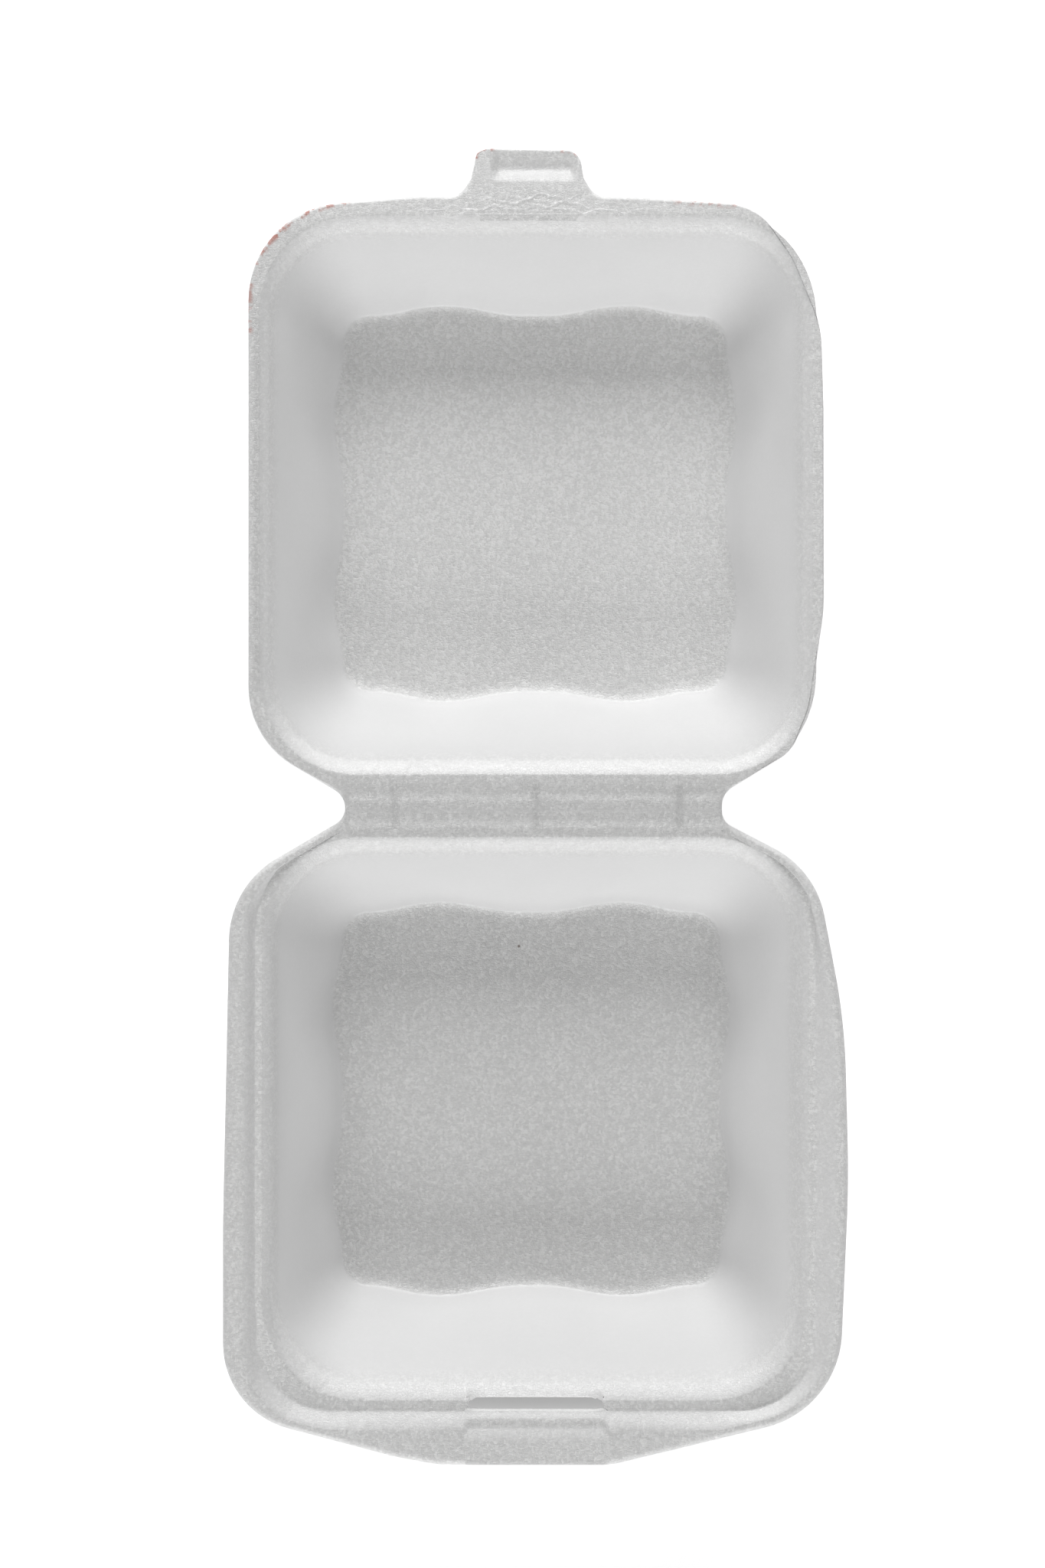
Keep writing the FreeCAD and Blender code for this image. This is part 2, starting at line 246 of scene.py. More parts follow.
def middle_of(hollow):
    """Middle of a hollow, from which the rays of its shell go out."""
    return np.array([hollow["x"], (hollow["back"] + hollow["front"]) / 2])


def crest_line(hollow, centre, angles):
    """Reach of a hollow's crest line, and how much further it is with the line 1 mm further out."""
    line, wide = (reach_of(box_corners(hollow, out, CREST_CORNER + out), centre, angles)
                  for out in (0.0, 1.0))
    return line, wide - line


def crest_reach(hollow, centre, angles, shift):
    """Function that gives the reach of the crest line from how far out it is moved."""
    line, wide = crest_line(hollow, centre, angles)
    return lambda out: line + wide * (out + 0.6 * shift)


def at_ends(angles):
    """1 on the rays to the hinge and the front, 0 on those to the sides."""
    return step(0.5, 0.8, np.abs(np.sin(angles)))


def wall_slope(sizes):
    """How far a wall leans inwards for each millimetre down."""
    return sizes.wall_run * MM / (WALL_TOP - sizes.foam * MM)


def sideways(sizes):
    """The foam's thickness measured level through a leaning wall: thickness / sin(angle of the wall)."""
    foam = sizes.foam * MM
    return foam / math.sin(math.atan2(WALL_TOP - foam, sizes.wall_run * MM))


def scallop(along):
    """Two swellings, 0 to 1, along a floor's side: cos^2 over each span, with a land between."""
    span, land = 37.7, 5.6
    away = np.abs(np.abs(along) - (span + land) / 2)
    return np.where(away < span / 2, np.cos(math.pi * away / span) ** 2, 0.0)


def wall_ring(hollow, centre, angles, inset, z, sizes):
    """Reach of a hollow's wall at one level: a rounded box, inset, with each side swollen twice."""
    run = sizes.wall_run * MM
    share = (inset - CREST_HALF) / run
    radius = max(CREST_CORNER - CREST_HALF - (CREST_CORNER - CREST_HALF - FLOOR_CORNER) * share, 2.0)
    corners = [(x, y + hollow["shift"] * share, r) for x, y, r in box_corners(hollow, -inset, radius)]
    reach = reach_of(corners, centre, angles)
    x, y = reach * np.cos(angles), reach * np.sin(angles)
    floor_half = hollow["half"] - CREST_HALF - run
    half = hollow["half"] - inset
    at_side = np.abs(x) > np.abs(y)
    along = np.where(at_side, y, x) * floor_half / half
    height = 1 - step(2.2, 29.0, z)
    swelling = sizes.scallop * MM * scallop(along) * height
    slant = np.where(at_side, np.abs(np.cos(angles)), np.abs(np.sin(angles)))
    return reach + swelling / slant


def brow(hollow, centre, angles, level, slope, shift):
    """Rings of the rounding between the flange and a hollow's wall: three arcs that touch each other.

    The tilt grows quickly to 25 degrees, slowly to 45 and quickly again. The rounding is larger along
    the hinge and the front than along the sides, and shift moves it outwards.
    """
    line, wide = crest_line(hollow, centre, angles)
    size = 0.6 + 0.4 * at_ends(angles)
    turns = np.radians([0, 12, 25, 31, 38, 45, 54])
    radius = np.repeat([2.4, 11.0, 5.0], [2, 3, 1])
    runs = np.concatenate([[0], np.cumsum(radius * np.diff(np.sin(turns)))])
    drops = np.concatenate([[0], np.cumsum(radius * -np.diff(np.cos(turns)))])
    inset = CREST_HALF + (WALL_TOP - level + size * drops[-1]) * slope
    start = size * runs[-1] + shift - inset
    rings = [(line + wide * (start + 0.8), level)]
    for run, drop in zip(runs, drops):
        rings.append((line + wide * (start - size * run), level - size * drop))
    return rings


def spline_rows(counts):
    """Places along a clamped cubic spline: counts[i] rows in its span i, and its end."""
    rows = [i + np.arange(count) / count for i, count in enumerate(counts)]
    return np.concatenate(rows + [[len(counts)]])


def spline_weights(places, controls):
    """Weights of each control at each place, by the recursion for cubic B-splines with clamped ends."""
    last = controls - 3
    knots = np.concatenate([[0] * 3, np.arange(last + 1), [last] * 3]).astype(float)
    t = np.minimum(places, last - 1e-9)[:, None]
    weights = ((knots[:-1] <= t) & (t < knots[1:])).astype(float)
    for degree in (1, 2, 3):
        rise = knots[degree:-1] - knots[:-degree - 1]
        fall = knots[degree + 1:] - knots[1:-degree]
        up = np.where(rise > 0, (t - knots[:-degree - 1]) / np.where(rise > 0, rise, 1), 0)
        down = np.where(fall > 0, (knots[degree + 1:] - t) / np.where(fall > 0, fall, 1), 0)
        weights = up * weights[:, :-1] + down * weights[:, 1:]
    return weights


def skin(rings, counts, centre, angles):
    """Surface through rings (reach, height), from the edge inwards: one spline profile on every ray."""
    reach = np.array([np.broadcast_to(r, angles.shape) for r, _ in rings])
    height = np.array([np.broadcast_to(z, angles.shape) for _, z in rings])
    weights = spline_weights(spline_rows(counts), len(rings))
    r, z = weights @ reach, weights @ height
    return np.stack([centre[0] + r * np.cos(angles), centre[1] + r * np.sin(angles), z], -1)


def ray_angle(centre, place):
    """Angle of the ray through a place, from 0 to a full turn."""
    return math.atan2(place[1] - centre[1], place[0] - centre[0]) % (2 * math.pi)


def column_of(angles, centre, place):
    """Number of the ray that passes nearest to a place."""
    return int(np.argmin(np.abs(angles - ray_angle(centre, place))))


def row_near(rows, first, last, column, y):
    """Number of the row from first on, and before last, that comes nearest to y in a column."""
    return first + int(np.argmin(np.abs(rows[first:last, column, 1] - y)))


def column_angles(corners, centre, zones, fixed):
    """Angles of the rays: evenly spaced along the edge, closer inside the zones.

    zones are (y from, y to, half width, spacing); fixed are places that a ray has to pass through.
    """
    points = dense(rounded(corners), 20000)
    spacing = np.full(len(points), RAY_SPACING)
    for y_low, y_high, half, fine in zones:
        inside = (points[:, 1] > y_low) & (points[:, 1] < y_high) & (np.abs(points[:, 0]) < half)
        spacing[inside] = fine
    length = np.linalg.norm(np.roll(points, -1, 0) - points, axis=1)
    count = np.cumsum(length / spacing)
    wanted = np.linspace(0, count[-1], int(count[-1]), endpoint=False)
    chosen = points[np.minimum(np.searchsorted(count, wanted), len(points) - 1)] - centre
    angles = np.unique(np.mod(np.arctan2(chosen[:, 1], chosen[:, 0]), 2 * math.pi))
    for place in fixed:
        angles[column_of(angles, centre, place)] = ray_angle(centre, place)
    return angles


def wall_rings(hollow, centre, angles, sizes, lean):
    """Rings of a wall and floor, from the top down.

    lean is 0 on the inside, and the foam's thickness measured level on the outside.
    """
    slope = wall_slope(sizes)
    floor_z = 0.0 if lean else sizes.foam * MM
    levels = (28.0, 22.0, 16.0, 11.0, 7.0) if lean else (26.0, 21.5, 16.5, 11.5, 7.4)
    rings = []
    for z in (*levels, floor_z + 2.4):
        inset = CREST_HALF + (WALL_TOP - z) * slope - lean
        rings.append((wall_ring(hollow, centre, angles, inset, z, sizes), z))
    corner = CREST_HALF + (WALL_TOP - floor_z) * slope - lean
    for inset in (corner + 0.1, corner + 2.8, corner + 5.5):
        rings.append((wall_ring(hollow, centre, angles, inset, floor_z, sizes), floor_z))
    inner = rings[-1][0]
    rings += [(inner * share, floor_z) for share in (0.75, 0.5, 0.25, 0.04)]
    return rings


def unevenness(x, y):
    """Slow waves of the sheet, about -1 to 1: a sum of sines in a few directions."""
    return (np.sin(0.061 * x + 0.043 * y + 0.4) + np.sin(0.037 * x - 0.082 * y + 1.9)
            + 0.6 * np.sin(0.14 * x + 0.11 * y + 2.7) + 0.4 * np.sin(0.23 * y - 0.19 * x)) / 3


def creases(x, y):
    """The two pressed lines of the hinge, 0 to 1: bell curves along slightly wandering paths."""
    wander = 0.12 * np.sin(0.31 * x + 1.0) + 0.08 * np.sin(0.83 * x)
    on_strip = 1 - step(STRIP_RIGHT - 1.5, STRIP_RIGHT + 1.5, np.abs(x))
    return on_strip * (bell(y - BASE_CREASE - wander, 0.8) + bell(y - LID_CREASE - wander, 0.8))


def ribs(x, y):
    """The three short grooves across the hinge, 0 to 1."""
    places = ((-34.0, 0.6), (0.2, 0.85), (34.7, 1.0))
    across = sum(share * bell(x - place, 1.0) for place, share in places)
    start = step(BASE_CREASE - 2.4, BASE_CREASE - 0.8, y)
    return across * start * (1 - step(LID_CREASE + 2.6, LID_CREASE + 4.2, y))


def hinge_marks(x, y, sizes):
    """Depth of the pressed creases and the short grooves across them."""
    rib = ribs(x, y)
    return sizes.crease * MM * creases(x, y) * (1 - 0.8 * rib) + 0.3 * rib


def folds(x, y, marks):
    """Depth of handling marks, which wander a little along their length."""
    depth = np.zeros_like(x)
    for mark_x, mark_y, direction, length, width, deep in marks:
        turn = math.radians(direction)
        along = (x - mark_x) * math.cos(turn) + (y - mark_y) * math.sin(turn)
        across = (y - mark_y) * math.cos(turn) - (x - mark_x) * math.sin(turn)
        bend = across - 0.03 * along * np.sin(0.4 * along)
        depth += deep * bell(bend, width) * bell(along, length / 2)
    return depth


def handled(rows, is_top, marks, sizes):
    """Depth of the hinge's pressed lines and of the handling marks on a shell's rows."""
    x, y = rows[..., 0], rows[..., 1]
    depth = np.where(is_top, 1.0, UNDER_SHARE) * hinge_marks(x, y, sizes)
    depth += np.where(rows[..., 2] > MARKED_Z, folds(x, y, marks), 0.0)
    return depth


def sagging(rows, sizes):
    """Slow waves of a shell's rows, all downwards and fading out down its walls."""
    uneven = unevenness(rows[..., 0], rows[..., 1]) - 1
    return sizes.waviness * MM * uneven * step(20.0, 32.0, rows[..., 2])


def add_mesh(name, points, faces, attributes):
    """Mesh object from points in millimetres. Faces are lists of quads, triangles and polygons."""
    used = np.unique(np.concatenate([np.ravel(part) for part in faces]))
    index = np.full(len(points), -1)
    index[used] = np.arange(len(used))
    mesh = bpy.data.meshes.new(name)
    polygons = [row for part in faces for row in index[np.atleast_2d(part)].tolist()]
    mesh.from_pydata((points[used] / MM).tolist(), [], polygons)
    for key, values in attributes.items():
        layer = mesh.attributes.new(key, "FLOAT", "POINT")
        layer.data.foreach_set("value", values[used].astype(np.float32))
    mesh.polygons.foreach_set("use_smooth", np.ones(len(mesh.polygons), bool))
    mesh.set_sharp_from_angle(angle=math.radians(48))
    mesh.validate()
    piece = bpy.data.objects.new(name, mesh)
    bpy.context.scene.collection.objects.link(piece)
    return piece


def shell_faces(rows, columns, opening):
    """Faces of a closed shell of rings, from the upper middle out over the edge to the lower middle.

    opening is (first column, last column, upper row, lower row, outer upper row, outer lower row):
    the cells between are left out, and its walls are added. With no outer rows it reaches the edge.
    """
    first, last, upper, lower, outer_upper, outer_lower = opening
    through = outer_upper is not None
    bands = ((upper, outer_upper), (outer_lower, lower)) if through else ((upper, lower),)
    i, j = np.meshgrid(np.arange(rows - 1), np.arange(columns), indexing="ij")
    keep = np.ones(i.shape, bool)
    for start, stop in bands:
        keep &= ~((j >= first) & (j < last) & (i >= start) & (i < stop))
    k = np.arange(first, last)
    high, low = upper * columns + k, lower * columns + k
    walls = [np.stack([high + 1, high, low, low + 1], 1)]
    if through:
        high, low = outer_upper * columns + k, outer_lower * columns + k
        walls.append(np.stack([high, high + 1, low + 1, low], 1))
    loop = np.concatenate([np.arange(start, stop + 1) for start, stop in bands])
    walls.append((loop * columns + first)[None])
    walls.append((loop[::-1] * columns + last)[None])
    i, j = i[keep], j[keep]
    ahead = (j + 1) % columns
    quads = np.stack([i * columns + j, (i + 1) * columns + j,
                      (i + 1) * columns + ahead, i * columns + ahead], 1)
    j = np.arange(columns)
    ahead = (j + 1) % columns
    top = rows * columns
    under = (rows - 1) * columns
    fan_top = np.stack([np.full(columns, top), j, ahead], 1)
    fan_under = np.stack([np.full(columns, top + 1), under + ahead, under + j], 1)
    return [quads, fan_top, fan_under] + walls


def shell_points(top, bottom):
    """Rows of a shell's points in the order that shell_faces needs, with its two middle points."""
    rows = np.concatenate([top[::-1], bottom])
    middles = np.stack([top[-1].mean(0), bottom[-1].mean(0)])
    return rows, np.vstack([rows.reshape(-1, 3), middles])


def texture_amounts(rows, centre, edge, cut, floor):
    """Per point: cells, 1 where the foam is flat and 0 where it was stretched; edge, 1 at the cut edge; tone.

    The tone is painted light and shade. It is lower, as painted shade, on the level rim, less so at its
    sides, on its slopes along y and near the tab, and lowest on the hinge strip and in its grooves; it is
    higher, as painted highlight, along the two creases and on the brows that face the lights. On the hollow's
    floor it is multiplied by floor, which paints light there above 1 and shade below 1.
    cut is 1 where the sheet is cut and 0 where it goes on in another piece.
    """
    down = np.gradient(rows, axis=0)
    along = np.roll(rows, -1, 1) - np.roll(rows, 1, 1)
    normal = np.cross(down, along)
    size = np.maximum(np.linalg.norm(normal, axis=-1), 1e-9)
    flat = np.abs(normal[..., 2]) / size
    slope = np.abs(normal[..., 1]) / size
    x, y, z = (rows[..., k] for k in range(3))
    high = step(28.0, 31.5, z)
    cells = step(0.62, 0.95, flat) * (1 - high) + high * (0.5 + 0.5 * step(0.93, 0.99, flat))
    distance = edge - np.hypot(x - centre[0], y - centre[1]) + SEAM_APART * (1 - cut)
    near_edge = 1 - step(0.4, 1.8, distance)
    strip = (1 - step(42.0, 56.0, np.abs(x))) * (1 - step(5.0, 8.0, np.abs(y - STRIP_MIDDLE)))
    # Painted shade on the level rim and hinge strip; the slopes along y, which face the two lights, and the
    # brows are spared.
    level = np.maximum(1 - step(0.12, 0.35, slope), strip)
    level *= (1 - 0.85 * step(137.0, 142.0, y)) * (0.35 + 0.65 * step(32.4, 33.0, z))
    level *= 1 - 0.5 * step(58.0, 66.0, x) - 0.25 * step(58.0, 66.0, -x)
    rib = ribs(x, y)
    # Painted shade in the three grooves across the hinge, painted highlight along its two creases.
    tone = 1 - high * (level * (0.13 + 0.07 * strip) - 0.10 * creases(x, y) * (1 - rib) + 0.10 * rib)
    # Painted highlight on the brows that face the lights, stronger on the lid.
    brow_highlight = 0.09 + 0.05 * step(-5.0, 5.0, y)
    tone += brow_highlight * step(30.5, 31.5, z) * bell(slope - 0.53, 0.22) * (1 - strip)
    # Painted light on the hollow's floor where floor is above 1, painted shade where it is below 1.
    tone *= 1 + (floor - 1) * (1 - step(1.0, 9.0, z))
    amounts = {"cells": cells, "edge": near_edge, "tone": tone}
    return {key: np.append(value.ravel(), value[[0, -1], 0]) for key, value in amounts.items()}


def build_base(sizes):
    """Base with its half of the hinge strip: one shell of rings around the middle of its hollow."""
    hollow = BASE_HOLLOW
    centre = middle_of(hollow)
    foam, rounding = sizes.foam * MM, sizes.edge_round * MM
    zones = ((-20.0, 0.0, 52.0, 0.62), (-160.0, -150.0, 24.0, 0.5))
    slit_ends = [(x, SLIT_RAY_Y) for x in SLIT]
    angles = column_angles(BASE_EDGE, centre, zones, slit_ends)
    edge = reach_of(BASE_EDGE, centre, angles)
    edge_x, edge_y = centre[0] + edge * np.cos(angles), centre[1] + edge * np.sin(angles)
    from_hinge = np.abs(edge_x) + 0.35 * np.maximum(-12 - edge_y, 0)
    hinge = np.where(edge_y > -40, 1 - step(46.0, 74.0, from_hinge), 0.0)
    cut = np.where(edge_y > STRIP_MIDDLE - 0.05, 0.0, 1.0)
    rim = RIM_Z + (FLANGE_Z - RIM_Z) * hinge
    ledge = LEDGE_Z + (FLANGE_Z - LEDGE_Z) * hinge
    riser_top = np.minimum(reach_of(RISER_TOP, centre, angles), edge - 2.6)
    riser_foot = np.minimum(reach_of(RISER_FOOT, centre, angles), riser_top - 1.6)
    shift = 0.3 + 0.5 * at_ends(angles) + 0.8 * step(0.5, 0.8, -np.sin(angles))
    shift -= 1.8 * step(0.5, 0.8, -np.cos(angles))
    crest = crest_reach(hollow, centre, angles, shift)
    arc = brow(hollow, centre, angles, ledge, wall_slope(sizes), shift)
    foot = np.maximum(riser_foot, arc[0][0] + 0.4)
    over = [
        (edge, rim - rounding * cut), (edge - 0.45, rim), (edge - 1.3, rim),
        (np.maximum(riser_top + 0.9, edge - 3.0 - 30 * hinge), rim), (riser_top, rim),
        (foot + 0.5, ledge), (foot - 0.1, ledge),
    ]
    over += arc + wall_rings(hollow, centre, angles, sizes, 0.0)
    top = skin(over, [2, 2, 3, 4, 4, 4, 4] + [3] * 13 + [2] * 5, centre, angles)
    rim_z, ledge_z = rim - foam, ledge - foam
    under = [
        (edge, rim_z + 0.5 * rounding * cut), (edge - 0.4, rim_z), (edge - 1.3, rim_z),
        (riser_top + 0.9, rim_z), (riser_top + 0.3, rim_z), (riser_foot + 0.9, ledge_z),
        (np.maximum(riser_foot, crest(2.4)), ledge_z), (crest(1.3), ledge_z), (crest(0.6), ledge_z - 0.2),
    ]
    under += wall_rings(hollow, centre, angles, sizes, sideways(sizes))
    bottom = skin(under, [1, 2, 3, 2, 3, 3, 3] + [2] * 12, centre, angles)
    rows, points = shell_points(top, bottom)
    count, columns = rows.shape[:2]

    first, last = (column_of(angles, centre, place) for place in slit_ends)
    middle = (first + last) // 2
    upper, outer_upper = (row_near(rows, 0, len(top), middle, y) for y in (SLIT_INNER_Y, SLIT_OUTER_Y))
    lower, outer_lower = (row_near(rows, len(top), count, middle, y) for y in (SLIT_UNDER_Y, SLIT_OUTER_Y))
    span = slice(first, last + 1)
    x = rows[upper, span, 0]
    off_middle = np.abs((2 * x - SLIT[0] - SLIT[1]) / (SLIT[1] - SLIT[0]))
    end, lens = off_middle ** 16, off_middle ** 8
    torn = 0.10 * np.sin(1.7 * x) + 0.08 * np.sin(4.3 * x + 1) + 0.05 * np.sin(9.1 * x)
    far_side = SLIT_OUTER_Y + 0.9 * end
    for row, line, inwards in (
            (upper, SLIT_INNER_Y + torn - 1.4 * lens, -1), (lower, SLIT_UNDER_Y - 0.6 * end, 1),
            (outer_upper, far_side - 0.2 * torn, 1), (outer_lower, far_side, -1)):
        moved = line - rows[row, span, 1]
        for away, share in enumerate((1.0, 0.7, 0.4, 0.15)):
            rows[row + away * inwards, span, 1] += share * moved

    is_top = (np.arange(count) < len(top))[:, None]
    drop = handled(rows, is_top, BASE_MARKS, sizes)
    rows[..., 2] = pocket(*(rows[..., k] for k in range(3)), np.where(is_top, 0.0, foam))
    rows[..., 2] = np.clip(rows[..., 2] + sagging(rows, sizes) - drop, 0.0, RIM_Z)
    points[:-2] = rows.reshape(-1, 3)
    faces = shell_faces(count, columns, (first, last, upper, lower, outer_upper, outer_lower))
    # The base's floor gets painted shade (0.93).
    return points, faces, texture_amounts(rows, centre, edge, cut, 0.93)


def pocket(x, y, z, under):
    """Heights with the riser pressed down to a shelf behind the slit, between two rounded shoulders."""
    across = step(-17.7, -15.9, x) * (1 - step(15.9, 17.7, x)) * (y < -144.5)
    shelf = LEDGE_Z + (SHELF_Z - LEDGE_Z) * (1 - step(-147.8, -145.0, y))
    shelf += (RIM_Z - SHELF_Z) * (1 - step(-151.0, -149.3, y))
    return z + across * (shelf - under - z)


def build_lid(sizes):
    """Lid with its half of the hinge strip, and an open slot in its front flange for the tab's root."""
    hollow = LID_HOLLOW
    centre = middle_of(hollow)
    foam, rounding = sizes.foam * MM, sizes.edge_round * MM
    zones = ((-5.0, 12.0, 52.0, 0.62), (144.0, 150.0, 24.0, 0.4))
    slot_ends = [(x, TAB_SIDES_Y) for x in TAB_SIDES]
    angles = column_angles(LID_EDGE, centre, zones, slot_ends)
    edge = reach_of(LID_EDGE, centre, angles)
    cut = np.where(centre[1] + edge * np.sin(angles) < STRIP_MIDDLE + 0.05, 0.0, 1.0)
    shift = 0.3 + 0.5 * at_ends(angles)
    crest = crest_reach(hollow, centre, angles, shift)
    arc = brow(hollow, centre, angles, FLANGE_Z, wall_slope(sizes), shift)
    foot = np.minimum(arc[0][0] + 0.4, edge - 0.5)
    flange = edge - foot
    over = [(edge, FLANGE_Z - rounding * cut)]
    over += [(foot + share * flange, FLANGE_Z) for share in (0.88, 0.62, 0.36, 0.12)]
    over += arc + wall_rings(hollow, centre, angles, sizes, 0.0)
    top = skin(over, [4, 8, 8, 8, 5, 4] + [3] * 12 + [2] * 5, centre, angles)
    under_z = FLANGE_Z - foam
    under = [(edge, under_z + 0.5 * rounding * cut)]
    under += [(foot + share * flange, under_z) for share in (0.88, 0.55, 0.15)]
    under += [(crest(1.3), under_z), (crest(0.7), under_z), (crest(0.2), under_z - 0.4)]
    under += wall_rings(hollow, centre, angles, sizes, sideways(sizes))
    bottom = skin(under, [2, 3, 3] + [2] * 14, centre, angles)
    rows, points = shell_points(top, bottom)
    count, columns = rows.shape[:2]

    first, last = (column_of(angles, centre, place) for place in reversed(slot_ends))
    middle = (first + last) // 2
    upper = row_near(rows, 0, len(top), middle, TAB_ROOT_Y)
    lower = row_near(rows, len(top), count, middle, TAB_ROOT_Y)
    x, y = rows[..., 0], rows[..., 1]
    is_top = (np.arange(count) < len(top))[:, None]
    drop = handled(rows, is_top, LID_MARKS, sizes) - np.where(is_top, 1.0, 0.0) * wrinkles(x, y)
    waves = sagging(rows, sizes) * (1 - bell(y - 145.0, 6.0) * bell(x + 1.7, 20.0))
    rows[..., 2] = np.clip(rows[..., 2] + waves - drop, 0.0, RIM_Z)
    points[:-2] = rows.reshape(-1, 3)
    faces = shell_faces(count, columns, (first, last, upper, lower, None, None))
    root = {
        "top": rows[:len(top), middle][:, 1:], "bottom": rows[len(top):, middle][:, 1:],
        "y_top": rows[upper, middle, 1], "y_bottom": rows[lower, middle, 1], "centre": centre,
    }
    # The lid's floor gets painted light (1.04).
    amounts = texture_amounts(rows, centre, edge, cut, 1.04)
    x, y, z = points.T
    # Painted shade: a dark line along the lid's left rim.
    left_rim_shade = bell(x + 67.2, 0.9) * step(18.0, 35.0, y) * (1 - step(110.0, 130.0, y))
    amounts["tone"] -= 0.12 * left_rim_shade * step(28.0, 31.5, z)
    return points, faces, amounts, root


def tab_sides(y, centre):
    """Left and right x of the tab at y: along the slot's rays, then narrowing to its two rounded corners."""
    along = (y - centre[1]) / (TAB_SIDES_Y - centre[1])
    narrow = np.clip((y - TAB_SIDES_Y) / (TAB_TIP_Y - TAB_SIDES_Y), 0, 1)
    from_tip = TAB_TIP_Y - y
    cut_left = 4.4 * (1 - np.sqrt(1 - np.clip(1 - from_tip / 1.6, 0, 1) ** 2))
    cut_right = 3.0 * (1 - np.sqrt(1 - np.clip(1 - from_tip / 3.6, 0, 1) ** 2))
    left = np.where(y < TAB_SIDES_Y, TAB_SIDES[0] * along, TAB_SIDES[0] + 1.5 * narrow + cut_left)
    right = np.where(y < TAB_SIDES_Y, TAB_SIDES[1] * along, TAB_SIDES[1] - 1.0 * narrow - cut_right)
    return left, right


def build_tab(sizes, root):
    """Tab: a flat tongue of even rows from its root to its tip, with a bar pressed into it."""
    foam, rounding = sizes.foam * MM, sizes.edge_round * MM
    across, slant = 84, 0.4
    near_tip = 1 - 0.15 * np.linspace(1, 0, 16) ** 1.6
    share = np.concatenate([np.linspace(0, 0.85, 72, endpoint=False), near_tip])
    s = np.sin(np.linspace(-1, 1, across) * 1.45) / math.sin(1.45)
    s = 0.5 * s + 0.5 * np.linspace(-1, 1, across)
    skins = []
    for start in (root["y_top"], root["y_bottom"]):
        y = start + (TAB_TIP_Y - start) * share
        left, right = tab_sides(y, root["centre"])
        x = (left + right)[:, None] / 2 + (right - left)[:, None] / 2 * s[None]
        row_y = y[:, None] - slant * step(0.4, 1.0, share)[:, None] * np.clip((x + 12.0) / 22.0, 0, 1)
        side = (right - left)[:, None] / 2 * (1 - np.abs(s[None])) + 3 * (y < TAB_SIDES_Y)[:, None]
        skins.append((x, row_y, np.minimum(side, (TAB_TIP_Y - y)[:, None])))
    made = []
    for number, (x, y, near) in enumerate(skins):
        profile = root["top" if number == 0 else "bottom"]
        order = np.argsort(profile[:, 0])
        level = FLANGE_Z if number == 0 else FLANGE_Z - foam
        height = np.interp(y, profile[order, 0], profile[order, 1])
        height = np.where(y > TAB_FOLD + 1.2, level, height)
        round_off = rounding * np.clip(1 - near / 0.45, 0, 1) ** 2
        height = height - round_off if number == 0 else height + 0.5 * round_off
        height = height - pressed(x, y, sizes, number) + wrinkles(x, y) * (1 - number) * (y > TAB_FOLD + 1.2)
        made.append(np.stack([x, y, height], -1))
    loop = np.concatenate([made[0], made[1][:, ::-1]], 1)
    rows, columns = loop.shape[:2]
    points = loop.reshape(-1, 3)
    i, j = np.meshgrid(np.arange(rows - 1), np.arange(columns), indexing="ij")
    ahead = (j + 1) % columns
    sides = np.stack([i * columns + j, i * columns + ahead,
                      (i + 1) * columns + ahead, (i + 1) * columns + j], -1)
    k = np.arange(across - 1)
    end = (rows - 1) * columns
    opposite = columns - 1 - k
    cap_root = np.stack([k + 1, k, opposite, opposite - 1], 1)
    cap_tip = np.stack([end + k, end + k + 1, end + opposite - 1, end + opposite], 1)
    near = np.concatenate([skins[0][2], skins[1][2][:, ::-1]], 1)
    cells = 1 - 0.8 * bell(loop[..., 1] - 151.8, 2.6) * bell((loop[..., 0] + 0.6) / 12, 1.0)
    edge = 1 - step(0.2, 1.0, near)
    amounts = {"cells": cells.ravel(), "edge": edge.ravel(), "tone": np.full(cells.size, 0.98)}
    return points, [sides.reshape(-1, 4), cap_root, cap_tip], amounts


def pressed(x, y, sizes, number):
    """Depth of the bar pressed into the tab: steep at first, then gently part of the way up again."""
    grow = 0.35 * number
    x_part = step(-11.2 - grow, -8.6, x) * (1 - step(8.0, 10.3 + grow, x))
    y_part = step(149.6 - grow, 153.4, y) * (1 - 0.75 * step(153.7, 157.4, y))
    return sizes.catch * MM * x_part * y_part


def wrinkles(x, y):
    """Height of fine zigzag ridges across the tab's root, where it has been folded before.

    Each is a bell curve about a path y = place + a sum of two sharp-cornered waves of x.
    """
    height = np.zeros_like(x)
    for place, middle, half, wave, phase in (
            (146.1, 2.0, 9.0, 0.50, 0.4), (145.0, -4.0, 10.0, 0.40, 2.1), (144.3, 6.0, 15.0, 0.45, 3.3),
            (143.3, -12.0, 17.0, 0.40, 1.2), (142.7, 10.0, 15.0, 0.35, 4.0), (142.0, -6.0, 22.0, 0.35, 5.1)):
        path = np.arcsin(np.sin(0.62 * x + phase)) + 0.45 * np.arcsin(np.sin(1.3 * x + 2 * phase))
        height += bell(y - place - wave * path, 0.26) * bell(x - middle, half)
    return 0.17 * height


def fill(made, inputs):
    """Sets a node's inputs, by name or number, to values or links them to sockets."""
    for key, value in inputs.items():
        if isinstance(value, bpy.types.NodeSocket):
            made.id_data.links.new(value, made.inputs[key])
        else:
            made.inputs[key].default_value = value


def node(tree, kind, inputs=None, **settings):
    """Shader node with its settings and inputs, at the next place of a grid."""
    down, along = divmod(len(tree.nodes), NODES_ALONG)
    made = tree.nodes.new(kind)
    made.location = (NODE_STEP * along, -NODE_STEP * down)
    for key, value in settings.items():
        setattr(made, key, value)
    fill(made, inputs or {})
    return made


